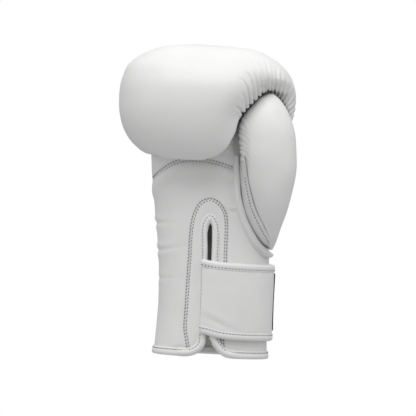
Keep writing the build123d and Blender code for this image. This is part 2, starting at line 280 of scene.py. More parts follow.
def ovalAt(levels, power, turns, heights, inset=0.0, backPadding=1.0):
    # points and outward directions on a level's flattened oval
    row = levelAt(levels, heights)
    left, right = row[..., 0] + inset, row[..., 1] - inset
    front, back = row[..., 2] + inset, row[..., 3] - inset * backPadding
    halfX, halfY = (right - left) / 2, (back - front) / 2
    c, s = np.cos(turns), np.sin(turns)
    x = (left + right) / 2 + halfX * np.sign(c) * np.abs(c) ** (2 / power)
    y = (front + back) / 2 + halfY * np.sign(s) * np.abs(s) ** (2 / power)
    outX = np.sign(c) * np.abs(c) ** (2 - 2 / power) / halfX
    outY = np.sign(s) * np.abs(s) ** (2 - 2 / power) / halfY
    size = np.hypot(outX, outY) + 1e-9
    return x, y, outX / size, outY / size


def handPoint(turn, height, lift):
    # lift above the skin, or, when it's negative, depth into the wall
    inset = max(0.0, -lift)
    thick = hand["backPadding"] if inset > hand["skin"] else 1.0
    x, y, outX, outY = ovalAt(hand["levels"], hand["power"], np.array(turn), np.array(height),
                              inset, thick)
    rise = max(0.0, lift)
    return np.array([x + outX * rise, y + outY * rise, height])


def frontSide(form, x, z):
    # the depth of a form's palm side at a point of the front view
    row = levelAt(form["levels"], np.asarray(z, float))
    left, right, front, back = (row[..., i] for i in range(4))
    share = (np.asarray(x, float) - (left + right) / 2) / ((right - left) / 2)
    share = np.clip(np.abs(share), 0, 1)
    bulge = (1 - share ** form["power"]) ** (1 / form["power"])
    return (front + back) / 2 - (back - front) / 2 * bulge


def palmSide(x, z):
    return frontSide(hand, x, z)


def palmNormal(x, z):
    step = 0.4
    slopeX = (palmSide(x + step, z) - palmSide(x - step, z)) / (2 * step)
    slopeZ = (palmSide(x, z + step) - palmSide(x, z - step)) / (2 * step)
    normal = np.stack([slopeX, -np.ones_like(slopeX), slopeZ], -1)
    return normal / np.linalg.norm(normal, axis=-1, keepdims=True)


def turnFor(x, height, back=False):
    left, right = levelAt(hand["levels"], np.array(float(height)))[:2]
    share = (x - (left + right) / 2) / ((right - left) / 2)
    c = math.copysign(abs(share) ** (hand["power"] / 2), share)
    turn = math.acos(max(-1.0, min(1.0, c)))
    return turn if back else -turn


def smooth(points, step=1.0):
    # a Catmull-Rom line through the points, evenly spaced
    points = np.array(points, float)
    knots = np.concatenate([2 * points[:1] - points[1:2], points, 2 * points[-1:] - points[-2:-1]])
    fine = []
    for i in range(1, len(knots) - 2):
        p0, p1, p2, p3 = knots[i - 1:i + 3]
        t = np.linspace(0, 1, 24, endpoint=False)[:, None]
        fine.append(0.5 * (2 * p1 + (p2 - p0) * t + (2 * p0 - 5 * p1 + 4 * p2 - p3) * t**2
                           + (3 * p1 - p0 - 3 * p2 + p3) * t**3))
    fine = np.concatenate(fine + [knots[-2:-1]])
    steps = np.linalg.norm(np.diff(fine[:, :2], axis=0), axis=1)
    gone = np.concatenate([[0], np.cumsum(steps)])
    count = max(2, int(round(gone[-1] / step)) + 1)
    where = np.linspace(0, gone[-1], count)
    return np.stack([np.interp(where, gone, fine[:, i]) for i in range(fine.shape[1])], 1)


def sideways(line):
    along = np.gradient(line[:, :2], axis=0)
    along /= np.linalg.norm(along, axis=1, keepdims=True)
    return np.stack([-along[:, 1], along[:, 0]], 1)


def shifted(line, distance):
    return line[:, :2] + sideways(line) * distance


def distanceTo(line, x, z):
    # distance from many points to a line of the front view
    best = np.full(np.shape(x), 1e9)
    for (ax, az), (bx, bz) in zip(line[:-1, :2], line[1:, :2]):
        dx, dz = bx - ax, bz - az
        t = np.clip(((x - ax) * dx + (z - az) * dz) / (dx * dx + dz * dz + 1e-12), 0, 1)
        best = np.minimum(best, np.hypot(x - ax - t * dx, z - az - t * dz))
    return best


def within(outline, x, z):
    inside = np.zeros(np.shape(x), bool)
    ax, az = outline[-1][:2]
    for bx, bz in outline[:, :2]:
        cross = ((az > z) != (bz > z)) & (x < (bx - ax) * (z - az) / (bz - az + 1e-12) + ax)
        inside ^= cross
        ax, az = bx, bz
    return inside


# the seams of the palm side, as the front view shows them

seams = {
    "facing": [(-7.0, 4.0), (-9.2, 15.0), (-11.6, 27.0), (-11.4, 45.0), (-11.2, 68.0),
               (-10.7, 95.0), (-10.6, 118.0), (-8.6, 133.0), (-3.6, 144.4), (4.6, 149.2),
               (12.4, 147.2), (18.6, 140.4), (22.0, 129.0), (22.9, 95.0), (23.3, 60.0),
               (23.4, 27.0), (24.5, 14.0), (26.0, 5.0)],
    "palm": [(-54.0, 158.0), (-48.6, 167.5), (-37.5, 177.5), (-24.7, 184.2), (-8.2, 186.2),
             (10.0, 184.2), (27.0, 179.6)],
    "slitLeft": [(-12.0, -2.0), (-4.0, 1.5), (3.0, 6.5), (7.6, 13.0), (8.6, 22.0), (7.0, 60.0),
                 (5.6, 92.0), (4.5, 113.0), (5.2, 122.0), (7.2, 127.6)],
    "slitRight": [(7.2, 127.6), (9.2, 122.0), (9.8, 113.0), (10.2, 92.0), (11.0, 60.0),
                  (11.2, 24.0), (13.5, 15.5), (18.5, 8.0), (25.0, 3.0), (34.0, -2.0)],
    # the last two also give half the width at each point
    "binding": [(-17.0, 3.8, 3.9), (-9.0, 4.0, 3.8), (-1.5, 6.6, 3.7), (4.0, 12.8, 3.6),
                (4.6, 24.0, 3.0), (3.6, 60.0, 2.8), (3.1, 92.0, 2.7), (2.9, 103.0, 2.7),
                (1.9, 117.0, 2.7), (2.7, 126.0, 2.8), (6.8, 132.3, 3.1), (11.4, 126.0, 3.1),
                (12.8, 117.0, 3.6), (13.2, 103.0, 3.5), (13.4, 60.0, 3.5), (14.4, 26.0, 3.6),
                (17.2, 16.8, 3.6), (22.4, 9.2, 3.7), (29.0, 4.8, 3.8), (37.0, 3.8, 3.9)],
    "piping": [(28.2, 192.0, 2.4), (28.4, 181.0, 2.8), (29.2, 172.0, 3.0), (31.6, 152.0, 3.1),
               (38.6, 130.5, 3.2), (49.0, 111.8, 3.2), (57.2, 103.2, 3.2), (60.6, 100.2, 3.1),
               (63.2, 98.2, 2.8)],
}
facingLine = smooth(seams["facing"])
palmLine = smooth(seams["palm"])
slitOutline = np.concatenate([smooth(seams["slitLeft"]), smooth(seams["slitRight"])])
bindingLine = smooth(seams["binding"])
pipingLine = smooth(seams["piping"])


def addMesh(name, verts, faces, material):
    mesh = bpy.data.meshes.new(name)
    mesh.from_pydata([tuple(float(a) for a in v) for v in verts], [], faces)
    mesh.validate()
    obj = bpy.data.objects.new(name, mesh)
    scene.collection.objects.link(obj)
    mesh.materials.append(material)
    mesh.polygons.foreach_set("use_smooth", [True] * len(mesh.polygons))
    return obj


def applyModifiers(obj):
    graph = bpy.context.evaluated_depsgraph_get()
    mesh = bpy.data.meshes.new_from_object(obj.evaluated_get(graph), depsgraph=graph)
    obj.modifiers.clear()
    obj.data = mesh
    return obj


def faceOut(obj):
    body = bmesh.new()
    body.from_mesh(obj.data)
    bmesh.ops.remove_doubles(body, verts=body.verts, dist=0.00002)
    bmesh.ops.recalc_face_normals(body, faces=body.faces)
    body.to_mesh(obj.data)
    body.free()
    return obj


def keep(obj, slotName, body, *nodes):
    if isinstance(body, str):
        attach(obj, body)
    else:
        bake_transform(obj)
    if nodes:
        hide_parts(*nodes)
    return obj


def loopSweep(name, loops, material):
    # joins a row of closed loops, given in metres, into one skin with closed ends
    loops = np.array(loops)
    count, size = loops.shape[:2]
    faces = []
    for i in range(count - 1):
        a, b = i * size, (i + 1) * size
        for j in range(size):
            k = (j + 1) % size
            faces.append((a + j, a + k, b + k, b + j))
    faces.append(tuple(range(size)))
    faces.append(tuple(range((count - 1) * size, count * size))[::-1])
    obj = addMesh(name, loops.reshape(-1, 3), faces, material)
    faceOut(obj)
    obj.data.set_sharp_from_angle(angle=math.radians(50))
    return obj


# stitches: one small thread every few millimetres along a line, made by one node tree

stitching = {
    "pitch": 3.0 * mm,
    "length": 2.0 * mm,
    "radius": 0.55 * mm,
    "facingRows": (-1.15, 1.15),       # millimetres beside the seam
    "palmRows": (-1.4, 1.4),
    "palmLeftEnd": -50.5,
    "bindingShare": 0.58,
    "strapShare": 0.76,
}


def stitchTree():
    tree = bpy.data.node_groups.new("stitchRow", "GeometryNodeTree")
    tree.interface.new_socket("Geometry", in_out="INPUT", socket_type="NodeSocketGeometry")
    for label in ("Pitch", "Length", "Radius"):
        tree.interface.new_socket(label, in_out="INPUT", socket_type="NodeSocketFloat")
    tree.interface.new_socket("Thread", in_out="INPUT", socket_type="NodeSocketMaterial")
    tree.interface.new_socket("Geometry", in_out="OUTPUT", socket_type="NodeSocketGeometry")
    given = addNode(tree, "NodeGroupInput", {})
    spots = addNode(tree, "GeometryNodeCurveToPoints", {
        "Curve": given["Geometry"], "Length": given["Pitch"],
    }, mode="LENGTH")
    bead = addNode(tree, "GeometryNodeMeshUVSphere", {
        "Segments": 7, "Rings": 5, "Radius": given["Radius"],
    })
    # a stitch is a bead stretched along its row
    ratio = addNode(tree, "ShaderNodeMath", {
        0: given["Length"], 1: given["Radius"],
    }, operation="DIVIDE")
    stretch = addNode(tree, "ShaderNodeMath", {0: ratio[0], 1: 0.5}, operation="MULTIPLY")
    size = addNode(tree, "ShaderNodeCombineXYZ", {"X": 1.0, "Y": 1.0, "Z": stretch[0]})
    put = addNode(tree, "GeometryNodeInstanceOnPoints", {
        "Points": spots["Points"], "Instance": bead["Mesh"],
        "Rotation": spots["Rotation"], "Scale": size["Vector"],
    })
    real = addNode(tree, "GeometryNodeRealizeInstances", {"Geometry": put["Instances"]})
    soft = addNode(tree, "GeometryNodeSetShadeSmooth", {"Geometry": real["Geometry"]})
    paint = addNode(tree, "GeometryNodeSetMaterial", {
        "Geometry": soft["Geometry"], "Material": given["Thread"],
    })
    addNode(tree, "NodeGroupOutput", {"Geometry": paint["Geometry"]})
    return tree


stitchNodes = stitchTree()


def stitchRow(name, rows, body):
    # rows are lines of points in metres
    curve = bpy.data.curves.new(name, "CURVE")
    curve.dimensions = "3D"
    for points in rows:
        spline = curve.splines.new("POLY")
        spline.points.add(len(points) - 1)
        weighted = np.column_stack([points, np.ones(len(points))])
        spline.points.foreach_set("co", weighted.ravel())
    source = bpy.data.objects.new(name + "Path", curve)
    scene.collection.objects.link(source)
    modifier = source.modifiers.new("stitches", "NODES")
    modifier.node_group = stitchNodes
    values = {
        "Pitch": stitching["pitch"],
        "Length": stitching["length"],
        "Radius": stitching["radius"],
        "Thread": thread,
    }
    for socket in stitchNodes.interface.items_tree:
        if socket.in_out == "INPUT" and socket.name in values:
            modifier[socket.identifier] = values[socket.name]
    graph = bpy.context.evaluated_depsgraph_get()
    mesh = bpy.data.meshes.new_from_object(source.evaluated_get(graph), depsgraph=graph)
    stitches = bpy.data.objects.new(name, mesh)
    scene.collection.objects.link(stitches)
    bpy.data.objects.remove(source)
    return keep(stitches, "white_leather", body)


def onPalm(line, lift):
    # a line of the front view laid on the palm side's skin
    x, z = line[:, 0], line[:, 1]
    base = np.stack([x, palmSide(x, z), z], 1)
    return (base + palmNormal(x, z) * lift) * mm


# the hand's leather: one grid of points, then a panel for every seam's field

def press(away, depth, width):
    return depth * np.exp(-(away / width) ** 2)


def addHandSkin():
    heights = np.arange(hand["bottom"], hand["top"], hand["rowStep"])
    raw = np.linspace(0, 2 * math.pi, 1441)
    x, y, _, _ = ovalAt(hand["levels"], hand["power"], raw, np.full(raw.shape, 60.0))
    gone = np.concatenate([[0], np.cumsum(np.hypot(np.diff(x), np.diff(y)))])
    turns = np.interp(np.linspace(0, gone[-1], hand["columns"], endpoint=False), gone, raw)
    turnGrid, zGrid = np.meshgrid(turns, heights)
    x, y, outX, outY = ovalAt(hand["levels"], hand["power"], turnGrid, zGrid)
    front = np.sin(turnGrid) < 0

    # grid corners near a seam are pulled onto it, so that panels meet in a clean line
    for line in (facingLine, palmLine):
        for lineX, lineZ in line:
            near = front & (np.abs(x - lineX) < 0.75) & (np.abs(zGrid - lineZ) < 0.75)
            x[near] += (lineX - x[near]) * 0.5
            zGrid[near] += (lineZ - zGrid[near]) * 0.5
    y = np.where(front, palmSide(x, zGrid), y)

    lift = np.zeros(x.shape)
    for line, (depth, width) in zip((facingLine, palmLine), hand["seamPress"]):
        lift -= np.where(front, press(distanceTo(line, x, zGrid), depth, width), 0)
    beside, depth, width = hand["stitchPress"]
    for offset in (-beside, beside):
        for line in (facingLine, palmLine):
            row = shifted(line, offset)
            lift -= np.where(front, press(distanceTo(row, x, zGrid), depth, width), 0)
    inFacing = front & within(facingLine, x, zGrid)
    lift += np.where(inFacing, hand["facingRise"], 0)
    # the binding presses the facing down a little along its edge
    beside, depth, width = hand["bindingPress"]
    lift -= np.where(front, press(distanceTo(bindingLine, x, zGrid) - beside, depth, width), 0)
    # the palm's padding swells below its upper seam
    below, height, width = hand["palmSwell"]
    seamHeight = np.interp(x, palmLine[:, 0], palmLine[:, 1])
    under = np.clip((seamHeight - zGrid) / 3, 0, 1)
    swell = press(distanceTo(palmLine, x, zGrid) - below, height, width)
    lift += np.where(front, swell * under, 0)
    lift *= np.clip(-np.sin(turnGrid) * 5, 0, 1)     # these die out before the side
    # soft creases pressed into the little-finger side, with a ridge on each side
    for at, slope, reach, depth in hand["creases"]:
        fold = zGrid - at - (x + 44) * slope
        side = np.exp(-np.maximum(0, x + 46) / reach)
        pressed = press(fold, min(depth, hand["creaseLimit"]), 1.7)
        above, beneath = press(fold - 4.2, 0.6 * depth, 3.2), press(fold + 4.2, 0.45 * depth, 3.2)
        lift += np.where(x < 0, side * (above + beneath - pressed), 0)
    # the short ridge between the slit's facing and the thumb
    ridge = np.hypot((x - 28) / 4.5, (zGrid - 142.2 - 0.25 * np.abs(x - 28)) / 0.9)
    dip = np.hypot((x - 28) / 5, (zGrid - 139) / 2.2)
    lift += np.where(front, press(ridge, 0.9, 1) - press(dip, 0.8, 1), 0)
    # the finger panel stands proud of the padding behind it
    above = np.clip((zGrid - seamHeight - 1.5) / 6, 0, 1) * np.clip((x + 46) / 16, 0, 1)
    lift += np.where(front & (zGrid > 150), hand["fingerRise"] * above, 0)
    # slow unevenness of a stuffed cuff, less where it's sewn flat
    slow = np.array([[noise.noise(Vector((a / 17, b / 17, c / 23))) for a, b, c in zip(*r)]
                     for r in zip(x, y, zGrid)])
    lift += hand["slack"] * slow
    lift -= np.where(inFacing | (zGrid < 9), 0.3 * slow, 0)
    x, y = x + outX * lift, y + outY * lift

    # one four-sided face for each cell of the grid, sorted into panels by its middle
    number = np.arange(x.size).reshape(x.shape)
    beyond = np.roll(number, -1, axis=1)
    faces = np.stack([number[:-1], beyond[:-1], beyond[1:], number[1:]], -1).reshape(-1, 4)
    midX = ((x[:-1] + np.roll(x, -1, axis=1)[1:]) / 2).ravel()
    midZ = ((zGrid[:-1] + np.roll(zGrid, -1, axis=1)[1:]) / 2).ravel()
    isFront = front[:-1].copy()
    isFront[:, 0] = True
    isFront = isFront.ravel()
    inSlit = isFront & within(slitOutline, midX, midZ)
    isFacing = isFront & within(facingLine, midX, midZ) & ~inSlit
    isFinger = isFront & (midZ > np.interp(midX, palmLine[:, 0], palmLine[:, 1])) & (midZ > 150)
    isPalm = isFront & ~inSlit & ~isFacing & ~isFinger
    isHandBack = ~isFront & (midZ > hand["cuffBackTop"]) & (midZ < hand["handBackTop"])
    isCuffBack = ~isFront & (midZ <= hand["cuffBackTop"])
    points = np.stack([x, y, zGrid], -1).reshape(-1, 3) * mm
    for name, chosen, nodeName in (
        ("palmPanel", isPalm, "palm_panel"),
        ("slitFacing", isFacing, "slit_facing"),
        ("fingerPanel", isFinger, "finger_panel"),
        ("handBackPanel", isHandBack, "hand_back_panel"),
        ("cuffBackPanel", isCuffBack, "cuff_back_panel"),
    ):
        used, own = np.unique(faces[chosen], return_inverse=True)
        panel = addMesh(name, points[used], own.reshape(-1, 4).tolist(), white)
        solid = panel.modifiers.new("thickness", "SOLIDIFY")
        solid.thickness = hand["skin"] * mm
        solid.offset = -1.0
        applyModifiers(panel)
        panel.data.set_sharp_from_angle(angle=math.radians(60))
        keep(panel, "white_leather", "glove", nodeName)


addHandSkin()
print("hand panels ready")


# the fist: a padded shell, cut for the thumb's bay, rounded, then gathered into pleats

fist = {
    "levels": [
        (185.3, -44.0, 34.0, -43.0, 58.0),
        (189.0, -56.0, 50.0, -49.5, 64.5),
        (198.0, -69.5, 64.0, -57.5, 68.5),
        (210.0, -79.0, 73.0, -63.8, 69.8),
        (222.0, -83.6, 78.0, -67.6, 70.2),
        (240.0, -85.8, 82.0, -70.2, 70.2),
        (262.0, -83.4, 79.6, -66.9, 64.2),
        (276.0, -76.5, 71.5, -58.5, 55.0),
        (288.0, -58.0, 54.0, -43.0, 39.0),
        (293.5, -42.0, 38.0, -29.0, 26.0),
        (295.6, -24.0, 18.0, -15.0, 14.0),
        (296.2, -8.0, 2.0, -4.0, 4.0),
    ],
    "power": 2.4,
    "voxel": 2.3 * mm,
    "relax": 7,
    "columns": 150,
    "wall": 30.3,
    "middle": (-1.9, 240.7),            # across and height
    "halfSize": (83.9, 70.2, 55.4),
    "holeInset": 9.5,
    "bayDepth": -18.0,                  # how far back the thumb's bay goes
    # outlines of the bay and of the deeper scoop in it, and the cover's edge over them
    "bay": [(-6, 176), (-6, 184.6), (10, 190.5), (20, 199), (26.6, 214), (28.8, 226),
            (31.6, 231.6), (36.2, 236.6), (40.4, 241.4), (45.0, 246.6), (49.0, 251.6),
            (53.0, 254.2), (58.0, 255.2), (64.0, 253.6), (70.0, 251.6), (80.0, 249.0),
            (120, 246), (120, 176)],
    "scoop": [(27.2, 176), (27.2, 222), (31.6, 231.6), (40.4, 241.4), (49, 251), (57, 254.6),
              (64, 251.4), (71, 242.6), (76, 233), (80, 222), (120, 217), (120, 176)],
    "rolledEdge": [(12, 192), (20, 199), (26.6, 214), (28.8, 226), (31.6, 231.6), (36.2, 236.6),
                   (40.4, 241.4), (45.0, 246.6), (49.0, 251.6), (53.0, 254.2), (58.0, 255.2),
                   (64.0, 253.6), (70.0, 249.6)],
    "rollDepth": 13.0,
    "rollReach": 11.0,
    # the plane that the side behind the thumb falls away on
    "sideNormal": (0.795, -0.534, -0.286),
    "sidePoint": (76.5, -12.0, 236.0),
    "under": [(-130, 170), (-130, 189.5), (130, 189.5), (130, 170)],
    # pleats: points from the thumb upwards, depth and width
    "gathers": [
        ([(32.0, 231.4), (28.5, 235.0), (24.0, 237.4)], 2.6, 2.0),
        ([(35.0, 236.6), (32.6, 245.0), (28.6, 251.5)], 1.7, 1.5),
        ([(38.4, 240.6), (36.0, 252.0), (31.4, 260.0), (25.5, 264.5)], 2.4, 1.7),
        ([(42.0, 244.6), (40.4, 256.0), (36.8, 265.0), (30.4, 271.4)], 2.9, 1.8),
        ([(45.6, 248.6), (44.2, 260.0), (39.8, 269.5), (32.8, 276.5)], 2.7, 1.7),
        ([(49.0, 251.6), (47.8, 262.0), (44.0, 272.5), (36.4, 280.5)], 3.0, 1.8),
        ([(51.8, 253.8), (51.2, 264.0), (48.6, 273.0), (44.4, 279.0)], 2.0, 1.4),
        ([(54.6, 255.0), (54.4, 266.0), (52.8, 276.0), (49.2, 284.5)], 2.7, 1.5),
        ([(57.8, 255.4), (58.0, 265.0), (57.2, 273.0)], 1.8, 1.4),
        ([(61.2, 255.0), (62.2, 266.0), (61.4, 278.0)], 2.7, 1.5),
        ([(64.6, 253.4), (66.4, 263.0), (66.6, 273.0)], 2.0, 1.4),
        ([(67.4, 250.6), (70.6, 259.0), (72.4, 268.0)], 2.3, 1.4),
        ([(70.0, 247.4), (74.0, 254.4), (77.0, 262.0)], 2.2, 1.3),
        ([(72.0, 243.8), (76.8, 249.6), (80.6, 256.4)], 2.2, 1.25),
        ([(73.8, 240.0), (78.6, 244.6), (82.6, 250.0)], 2.1, 1.2),
        ([(75.6, 236.2), (80.0, 240.0), (83.6, 244.4)], 2.0, 1.15),
        ([(77.2, 232.2), (81.0, 235.2), (84.2, 239.0)], 1.8, 1.1),
    ],
    "slack": 0.5,
}


def ovalBlob(name, levels, power, heights, inset=0.0, backPadding=1.0):
    turns = np.linspace(0, 2 * math.pi, fist["columns"], endpoint=False)
    blob = []
    for z in heights:
        level = np.full(turns.shape, z)
        x, y, _, _ = ovalAt(levels, power, turns, level, inset, backPadding)
        blob.append(np.stack([x, y, level], -1) * mm)
    return loopSweep(name, blob, white)


def prism(name, outline, front, back):
    ends = [np.array([(x, y, z) for x, z in outline]) * mm for y in (front, back)]
    return loopSweep(name, ends, white)


def cutAway(obj, *cutters):
    for cutter in cutters:
        modifier = obj.modifiers.new("cut", "BOOLEAN")
        modifier.operation = "DIFFERENCE"
        modifier.solver = "EXACT"
        modifier.object = cutter
    applyModifiers(obj)
    for cutter in cutters:
        bpy.data.objects.remove(cutter)


def roundOff(obj, voxel, passes):
    remesh = obj.modifiers.new("remesh", "REMESH")
    remesh.mode = "VOXEL"
    remesh.voxel_size = voxel
    relax = obj.modifiers.new("relax", "SMOOTH")
    relax.factor = 0.5
    relax.iterations = passes
    finer = obj.modifiers.new("finer", "SUBSURF")
    finer.levels = finer.render_levels = 1
    applyModifiers(obj)


def vertexArrays(obj):
    mesh = obj.data
    points = np.empty(len(mesh.vertices) * 3)
    mesh.vertices.foreach_get("co", points)
    normals = np.empty(len(mesh.vertices) * 3)
    mesh.vertices.foreach_get("normal", normals)
    return points.reshape(-1, 3) / mm, normals.reshape(-1, 3)


def moveVertices(obj, points):
    obj.data.vertices.foreach_set("co", (points * mm).ravel())
    obj.data.update()
    obj.data.polygons.foreach_set("use_smooth", [True] * len(obj.data.polygons))


def pleatField(x, z, pleats):
    # each pleat is a sharp valley that fades along its length, with a rounder ridge beside it
    field = np.zeros(x.shape)
    for points, depth, width in pleats:
        line = smooth(points, 1.2)
        length = len(line) - 1
        for n, ((ax, az), (bx, bz)) in enumerate(zip(line[:-1], line[1:])):
            dx, dz = bx - ax, bz - az
            t = ((x - ax) * dx + (z - az) * dz) / (dx * dx + dz * dz)
            here = (t >= (0 if n else -6)) & (t < 1)     # the first stretch runs back a little
            side = ((x - ax) * dz - (z - az) * dx) / math.hypot(dx, dz)
            along = (n + np.clip(t, 0, 1)) / length
            fade = np.clip(1 - along, 0, 1) ** 0.8 * np.clip(1 - np.abs(side) / (4 * width), 0, 1)
            shape = (-np.exp(-(side / (0.6 * width)) ** 2)
                     + 0.55 * np.exp(-((side - 1.3 * width) / width) ** 2)
                     + 0.45 * np.exp(-((side + 1.3 * width) / width) ** 2))
            part = np.where(here & (np.abs(side) < 4 * width), depth * fade * shape, 0)
            field = np.where(np.abs(part) > np.abs(field), part, field)
    return field


def fistCutters():
    # the hand's space is the same form, smaller by the wall's thickness
    midX, midZ = fist["middle"]
    across, deep, tall = (1 - fist["wall"] / half for half in fist["halfSize"])
    inner = []
    for z, left, right, front, back in fist["levels"]:
        inner.append((midZ + (z - midZ) * tall, midX + (left - midX) * across,
                      midX + (right - midX) * across, front * deep, back * deep))
    core = ovalBlob("fistCore", inner, fist["power"], np.arange(inner[0][0], inner[-1][0], 3.0))
    hole = ovalBlob("handHole", hand["levels"], hand["power"], np.arange(160.0, 225.0, 8.0),
                    fist["holeInset"], hand["backPadding"])
    bay = prism("bay", fist["bay"], -130.0, fist["bayDepth"])
    scoop = prism("scoop", fist["scoop"], -60.0, -6.0)
    # the side of the fist falls away behind the thumb
    out = Vector(fist["sideNormal"]).normalized()
    flat = out.orthogonal().normalized()
    steep = out.cross(flat)
    far = 200
    corners = [flat * a + steep * b for a, b in ((-far, -far), (far, -far), (far, far), (-far, far))]
    side = loopSweep("side", [[(Vector(fist["sidePoint"]) + c + out * d) * mm for c in corners]
                              for d in (0, far)], white)
    under = prism("under", fist["under"], -22.5, 130.0)
    return core, hole, bay, scoop, side, under


def addFist():
    heights = np.concatenate([np.arange(185.3, 296.0, 2.4), [296.2]])
    outer = ovalBlob("fist", fist["levels"], fist["power"], heights)
    cutAway(outer, *fistCutters())
    roundOff(outer, fist["voxel"], fist["relax"])
    points, normals = vertexArrays(outer)
    # the cover's edge rolls in towards the thumb
    near = (points[:, 0] > -10) & (points[:, 1] < fist["bayDepth"])
    away = distanceTo(smooth(fist["rolledEdge"], 3.0), points[near, 0], points[near, 2])
    deep = np.clip((fist["bayDepth"] - points[near, 1]) / 34, 0, 1)
    rise = np.clip((points[near, 2] - 192) / 34, 0, 1)
    strength = 0.2 + 0.8 * rise**2 * (3 - 2 * rise)
    rolled = fist["rollDepth"] * strength * np.exp(-(away / fist["rollReach"]) ** 1.3)
    points[near, 1] += rolled * deep
    moveVertices(outer, points)
    # pleats on the palm side of the cover only, none inside the hand's space
    points, normals = vertexArrays(outer)
    x, y, z = points.T
    facing = np.clip(-normals[:, 1] * 2.0 + 0.9, 0, 1) * (y < 12)
    zone = (x > 12) & (z > 222) & (np.hypot(x + 1.9, y) > 40)
    lift = np.zeros(x.shape)
    fade = np.clip((z[zone] - 223) / 7, 0, 1)
    lift[zone] = pleatField(x[zone], z[zone], fist["gathers"]) * facing[zone] * fade
    # leather stretched over padding is never quite even
    lift += np.array([noise.noise(Vector((a, b, c)) / 38) for a, b, c in points]) * fist["slack"]
    moveVertices(outer, points + normals * lift[:, None])
    keep(outer, "white_leather", "glove", "knuckle_cover", "knuckle_foam_outer", "knuckle_foam_core")


addFist()
print("fist ready")


# the thumb: a padded sleeve with a rolled, puckered edge towards the palm

thumb = {
    "levels": [
        (104.5, 64.0, 67.5, -4.0, 4.0),
        (108.0, 62.5, 69.0, -12.0, 8.0),
        (126.0, 54.5, 74.0, -31.0, 6.0),
        (141.0, 46.6, 78.6, -41.0, 2.0),
        (158.0, 40.0, 82.2, -48.0, -2.0),
        (183.0, 33.4, 85.7, -53.5, -7.0),
        (205.0, 30.2, 83.8, -54.5, -8.4),
        (216.0, 29.4, 82.0, -54.0, -8.6),
        (228.0, 31.8, 78.2, -51.5, -9.6),
        (240.0, 40.6, 71.7, -46.0, -13.0),
        (248.0, 48.5, 65.0, -39.0, -19.0),
        (251.6, 55.0, 60.5, -33.0, -27.0),
    ],
    "power": 2.15,
    "columns": 220,
    "edge": [(66.4, 104.0), (58.5, 118.0), (49.6, 135.0), (42.2, 152.0), (38.6, 168.0),
             (37.0, 184.0), (35.6, 198.0), (35.8, 212.0)],
    "puckerPitch": 5.2,
    "puckerHeight": 1.7,
    "puckerReach": 4.2,
    "slack": 0.5,
    # two bodies and the points where its skin would turn from the glove's body to the thumb's; here
    # the skin is only fixed in place, attached to neither
    "way": ("glove", "thumb", (0.060, -0.025, 0.118), (0.060, -0.025, 0.190)),
}


def addThumb():
    heights = np.concatenate([[104.5, 105.2, 106.4], np.arange(108.0, 248.0, 1.1),
                              [248.8, 249.8, 250.7, 251.3, 251.6]])
    turns = np.linspace(0, 2 * math.pi, thumb["columns"], endpoint=False)
    turnGrid, zGrid = np.meshgrid(turns, heights)
    x, y, outX, outY = ovalAt(thumb["levels"], thumb["power"], turnGrid, zGrid)
    # a shallow hollow along the seam on the palm side
    front = y < levelAt(thumb["levels"], zGrid)[..., 2:].mean(-1) + 4
    hollow = 0.2 + 1.1 * np.clip((zGrid - 168) / 14, 0, 1) * np.clip((216 - zGrid) / 22, 0, 1)
    toEdge = distanceTo(smooth(thumb["edge"]), x, zGrid)
    lift = np.where(front & (zGrid < 222), -press(toEdge, hollow, 3.2), 0)
    # puckers where the edge was gathered
    fromLeft = x - levelAt(thumb["levels"], zGrid)[..., 0]
    reach = np.exp(-np.maximum(0, fromLeft - 1) / thumb["puckerReach"])
    phase = (zGrid + 0.9 * fromLeft) / thumb["puckerPitch"] + 0.22 * np.sin(zGrid * 0.41)
    some = np.clip((zGrid - 176) / 12, 0, 1) * np.clip((238 - zGrid) / 8, 0, 1)
    wave = np.abs(np.sin(math.pi * phase)) ** 0.6 - 0.7
    lift += thumb["puckerHeight"] * wave * reach * some * (np.cos(turnGrid) < 0)
    # little scallops of the seam over the top's left side
    scallop = np.clip((zGrid - 222) / 8, 0, 1) * np.exp(-((np.cos(turnGrid) + 1) / 0.12) ** 2)
    lift += 0.35 * np.sin(zGrid * 2.1) * scallop
    slow = np.array([[noise.noise(Vector((a, b, c)) / 26) for a, b, c in zip(*r)]
                     for r in zip(x, y, zGrid)])
    lift += thumb["slack"] * slow
    x, y = x + outX * lift, y + outY * lift
    sleeve = loopSweep("thumbSleeve", np.stack([x, y, zGrid], -1) * mm, white)
    keep(sleeve, "white_leather", thumb["way"], "thumb_cover", "thumb_foam")


addThumb()
print("thumb ready")


# piping, gusset and the slit's binding: ribbons laid on the palm side

edges = {
    # sections go once round: share of half the width, and height above the skin
    "binding": [(1.0, -0.4), (0.98, 0.7), (0.88, 1.3), (0.7, 1.5), (0.58, 1.3), (0.46, 1.6),
                (0.2, 2.2), (-0.1, 2.4), (-0.45, 2.2), (-0.75, 1.5), (-0.94, 0.5), (-1.0, -0.8),
                (-1.0, -4.0), (-0.98, -8.6), (-0.5, -8.8), (-0.35, -2.0), (0.2, -0.7)],
    "piping": [(0.98, -0.3), (1.0, 1.2), (0.88, 2.8), (0.62, 3.9), (0.3, 4.4), (0.0, 4.5),
               (-0.3, 4.4), (-0.62, 3.9), (-0.88, 2.8), (-1.0, 1.2), (-0.98, -0.3), (-0.5, -0.8),
               (0.5, -0.8)],
    "pipingGrowth": 0.3,
    # the gusset's two edges: under the piping, and a little way under the thumb
    "gussetInner": [(31.6, 188.0), (32.2, 173.0), (34.6, 156.0), (38.4, 139.5), (47.0, 121.6),
                    (56.4, 109.6), (65.0, 104.4)],
    "gussetOuter": [(35.6, 193.0), (38.6, 176.0), (43.0, 158.6), (49.0, 142.0), (57.2, 127.2),
                    (64.2, 114.6), (67.6, 107.4)],
    "gussetThick": 1.2,
    "gussetSag": 1.8,
}


